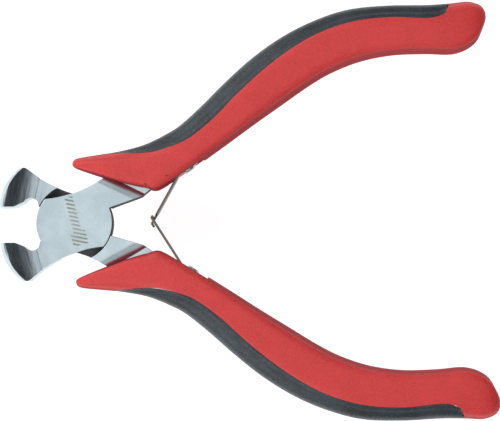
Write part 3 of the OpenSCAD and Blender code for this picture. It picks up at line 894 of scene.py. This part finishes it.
def grip_plastic(name, marks):
    """Matte moulded red plastic, its ridges lighter where rubbed and as a painted highlight, its steep
    walls darkened with painted shade, and scuffed.
    """
    mat, tree, shader, coords = material(name)
    place = coords.outputs["Object"]
    grain = add(tree, "Group", {"Place": place, "Size mm": RED_GRAIN}, node_tree=GRAIN).outputs
    wear_and_glint = add(tree, "Group", {"Place": place, "Reach mm": 0.5, "Spread": 0.25}, node_tree=WEAR_AND_GLINT).outputs[0]
    tone = maths(tree, "MULTIPLY_ADD", grain["Height"], 0.8, maths(tree, "MULTIPLY", grain["Mottle"], 0.5))
    colour = mix_colour(tree, ramp(tree, tone, 0.3, 0.85), RED_DEEP, RED_LIGHT)
    colour = mix_colour(tree, times(tree, grain["Fleck"], 0.35), colour, RED_FLECK)
    # Painted highlight, with rubbing: the outward edges are lightened.
    colour = mix_colour(tree, times(tree, wear_and_glint, 0.3), colour, RED_RUBBED_GLINT)
    # Painted shade: the steep walls are darkened and dulled.
    steep = maths(tree, "ABSOLUTE", split(tree, coords.outputs["Normal"])[2])
    wall = ramp(tree, steep, 0.15, 0.55, 0.9, 0.0)
    colour = mix_colour(tree, wall, colour, RED_WALL_SHADE)
    rough = mix_value(tree, wall, ramp(tree, grain["Height"], 0.25, 0.75, 0.42, 0.56), 1.0)
    for centre, angle, half in marks:
        turned = (0, 0, math.radians(angle))
        inputs = {"Place": place, "Centre mm": centre, "Turn": turned, "Half size mm": half}
        mark = add(tree, "Group", inputs, node_tree=SCUFF).outputs[0]
        colour = mix_colour(tree, times(tree, mark, 0.75), colour, RED_SCUFF)
        rough = mix_value(tree, mark, rough, 0.7)
    feed(tree, shader, colour=colour, rough=rough)
    raise_bump(tree, shader, grain["Height"], 0.05)
    return mat


def insert_rubber(name):
    """Dark blue-grey soft rubber with a coarse grain and pale dust in it, its edges lightened where rubbed
    and as a painted highlight.
    """
    mat, tree, shader, coords = material(name)
    place = coords.outputs["Object"]
    grain = add(tree, "Group", {"Place": place, "Size mm": GREY_GRAIN}, node_tree=GRAIN).outputs
    wear_and_glint = add(tree, "Group", {"Place": place, "Reach mm": 0.5, "Spread": 0.3}, node_tree=WEAR_AND_GLINT).outputs[0]
    colour = mix_colour(tree, ramp(tree, grain["Mottle"], 0.3, 0.7), GREY_DEEP, GREY_LIGHT)
    colour = mix_colour(tree, times(tree, grain["Fleck"], 0.45), colour, GREY_FLECK_AND_GLINT)
    # Painted highlight, with rubbing: the edges are lightened with the fleck colour.
    colour = mix_colour(tree, times(tree, wear_and_glint, 0.3), colour, GREY_FLECK_AND_GLINT)
    feed(tree, shader, colour=colour, rough=ramp(tree, grain["Height"], 0.25, 0.75, 0.38, 0.56))
    raise_bump(tree, shader, grain["Height"], 0.08)
    return mat


def spring_steel(name):
    """Dark rolled strip, its lines along its length, and its edges brightened where rubbed and as a painted
    highlight.
    """
    mat, tree, shader, coords = material(name, metal=1.0)
    place = coords.outputs["Object"]
    rolled = add(tree, "Group", {"Place": place, "Stretch": (260, 260, 6000)}, node_tree=LINES).outputs
    wear_and_glint = add(tree, "Group", {"Place": place, "Reach mm": 0.1, "Spread": 0.2}, node_tree=WEAR_AND_GLINT).outputs[0]
    colour = mix_colour(tree, rolled["Streak"], SPRING_DARK, SPRING_LIGHT)
    # Painted highlight, with rubbing: the edges are brightened.
    colour = mix_colour(tree, times(tree, wear_and_glint, 0.4), colour, SPRING_EDGE_GLINT)
    feed(tree, shader, colour=colour, rough=ramp(tree, rolled["Height"], 0.3, 0.7, 0.3, 0.46))
    raise_bump(tree, shader, rolled["Height"], 0.006)
    return mat


finishes = {
    forgings["upper"]: forged_steel("forged steel with print", (0, 0, HALF_OPEN), True),
    forgings["lower"]: forged_steel("forged steel", (math.pi, 0, -HALF_OPEN), False),
    NODES["pivot_rivet"]: rivet_steel("faced rivet steel", printed=True),
    grips["upper", "body"]: grip_plastic("red grip plastic with scuffs", UPPER_MARKS),
    grips["lower", "body"]: grip_plastic("red grip plastic", []),
}
rubber = insert_rubber("grey insert rubber")
leaf = spring_steel("rolled spring steel")
small_rivet = rivet_steel("spring rivet steel")
for side in SIDES:
    finishes[grips[side, "insert"]] = rubber
    finishes[springs[side]] = leaf
    finishes[rivets[side]] = small_rivet
for piece, finish in finishes.items():
    piece.data.materials.clear()
    piece.data.materials.append(finish)

# ---- floor, lights and camera

FLOOR_Z = -9.5
bpy.ops.object.select_all(action="DESELECT")
bpy.ops.mesh.primitive_plane_add(size=4, location=(0, 0, FLOOR_Z * MM))
floor = bpy.context.active_object
floor.name = "floor"
table, _, table_shader, _ = material("white light table", rough=0.8)
table_shader.inputs["Base Color"].default_value = (0.5, 0.5, 0.5, 1)
table_shader.inputs["Emission Color"].default_value = (1, 1, 1, 1)
table_shader.inputs["Emission Strength"].default_value = 0.8
floor.data.materials.append(table)


LIT_MIDDLE = Vector((0.038, 0, MID_Z))


def panel(name, place, size, power):
    """A soft rectangular light aimed at the tool."""
    data = bpy.data.lights.new(name, "AREA")
    data.shape = "RECTANGLE"
    data.size, data.size_y = size
    data.energy = power
    lamp = bpy.data.objects.new(name, data)
    bpy.context.scene.collection.objects.link(lamp)
    lamp.location = place
    lamp.rotation_euler = (LIT_MIDDLE - Vector(place)).to_track_quat("-Z", "Y").to_euler()


# Places and sizes in metres, and powers in watts
PANELS = {
    "overhead panel": ((0.0, 0.0, 0.9), (0.62, 0.8), 1.75),
    "far side panel": ((-0.55, 0.6, 0.62), (0.9, 0.7), 5.8),
    "near side panel": ((-0.55, -0.6, 0.62), (0.9, 0.7), 5.6),
    "far fill panel": ((0.24, 0.62, 0.7), (0.7, 0.6), 0.8),
    "near fill panel": ((0.24, -0.62, 0.7), (0.7, 0.6), 0.8),
}
for name, (place, size, power) in PANELS.items():
    panel(name, place, size, power)

world = bpy.data.worlds.new("studio")
bpy.context.scene.world = world
world.use_nodes = True
world.node_tree.nodes["Background"].inputs["Color"].default_value = (0.9, 0.95, 1, 1)
world.node_tree.nodes["Background"].inputs["Strength"].default_value = 0.05

# The camera looks down from a little to the near side, at a point in metres.
AIM = Vector((0.038, 0.0015, MID_Z))
DISTANCE = 0.480
FOCAL_MM = 159
TILT = math.radians(2.3)
ROLL = math.radians(1.95)

lens = bpy.data.cameras.new("camera")
lens.sensor_width = 36
lens.lens = FOCAL_MM
lens.clip_start = 0.01
eye = bpy.data.objects.new("camera", lens)
bpy.context.scene.collection.objects.link(eye)
back = Vector((0, -math.sin(TILT), math.cos(TILT)))
up = Vector((0, math.cos(TILT), math.sin(TILT)))
right = Vector((1, 0, 0))
roll = Matrix.Rotation(-ROLL, 3, back)
right, up = roll @ right, roll @ up
axes = Matrix((right, up, back)).transposed().to_4x4()
eye.matrix_world = Matrix.Translation(AIM + back * DISTANCE) @ axes
bpy.context.scene.camera = eye
bpy.context.scene.view_settings.view_transform = "Standard"
